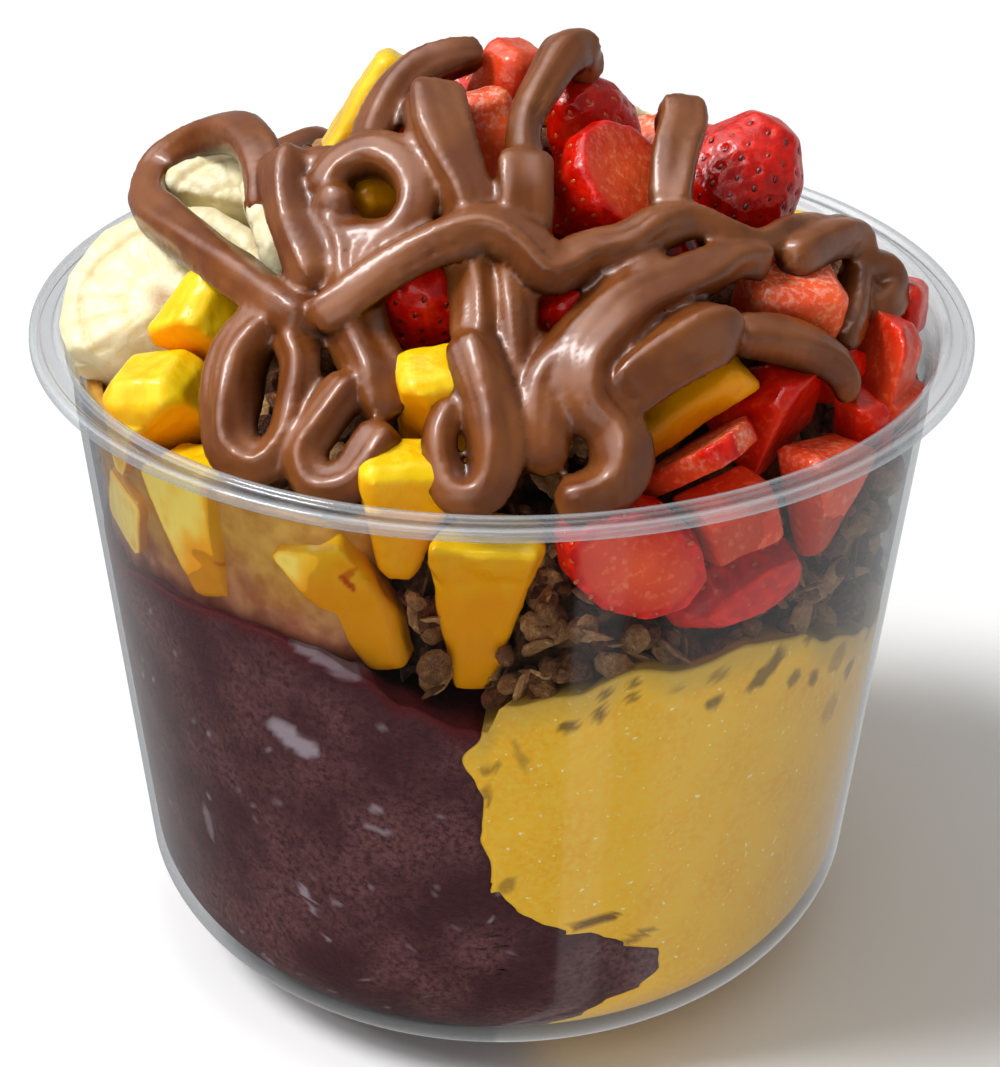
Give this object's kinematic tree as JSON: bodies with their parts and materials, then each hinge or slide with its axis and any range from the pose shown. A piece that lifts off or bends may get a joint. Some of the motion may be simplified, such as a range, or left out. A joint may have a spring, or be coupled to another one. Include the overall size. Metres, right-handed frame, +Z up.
{
  "type": "acai bowl in a clear tub",
  "caption": "Clear round tub of acai and mango sorbet with granola, heaped with cut mango, strawberry and banana under thick piped chocolate spread.",
  "frame": {"origin": "middle of the tub's foot, on the surface it stands on", "axes": "+Z up; -Y is the front, where the two purees meet behind the wall; +X is the sorbet's side"},
  "size_m": [0.118, 0.118, 0.1256],
  "materials": {
    "tub": "clear polypropylene, smooth moulded",
    "acai": "frozen puree, frosted",
    "mango_sorbet": "frozen puree, smooth",
    "granola": "toasted oats, rough",
    "mango": "wet cut fruit",
    "strawberry": "wet cut fruit",
    "banana": "moist cut fruit",
    "chocolate": "glossy thick spread"
  },
  "bodies": {
    "root": {"tub": "tub", "acai": "acai", "mango_sorbet": "mango_sorbet", "mango_wedge": "mango", "mango_front": "mango", "mango_red_edge": "mango", "mango_wall_slab": "mango", "mango_wall_left": "mango", "mango_wall_bit": "mango", "strawberry_wall_slice": "strawberry", "strawberry_wall_strip": "strawberry", "strawberry_wall_low": "strawberry", "strawberry_wall_wedge": "strawberry", "mango_left": "mango", "mango_left_small": "mango", "mango_strip": "mango", "mango_slice": "mango", "mango_ring": "mango", "mango_top": "mango", "strawberry_seeded": "strawberry", "strawberry_front": "strawberry", "strawberry_small": "strawberry", "strawberry_under": "strawberry", "strawberry_rim": "strawberry", "strawberry_rim_small": "strawberry", "strawberry_dice": "strawberry", "strawberry_big": "strawberry", "strawberry_round": "strawberry", "strawberry_peak": "strawberry", "strawberry_peak_slice": "strawberry", "strawberry_peak_back": "strawberry", "strawberry_pink": "strawberry", "strawberry_glimpse": "strawberry", "strawberry_shade_left": "strawberry", "strawberry_shade_mid": "strawberry", "strawberry_shade_right": "strawberry", "banana_long": "banana", "banana_loop": "banana", "banana_edge": "banana", "mango_crown": "mango", "strawberry_crown": "strawberry", "strawberry_crown_right": "strawberry", "mango_crown_right": "mango", "mango_back": "mango", "mango_back_right": "mango", "mango_back_left": "mango", "strawberry_back": "strawberry", "strawberry_back_left": "strawberry", "strawberry_back_low": "strawberry", "strawberry_back_right": "strawberry", "banana_back": "banana", "banana_back_right": "banana", "granola": "granola", "chocolate_drizzle": "chocolate"}
  },
  "joints": []
}
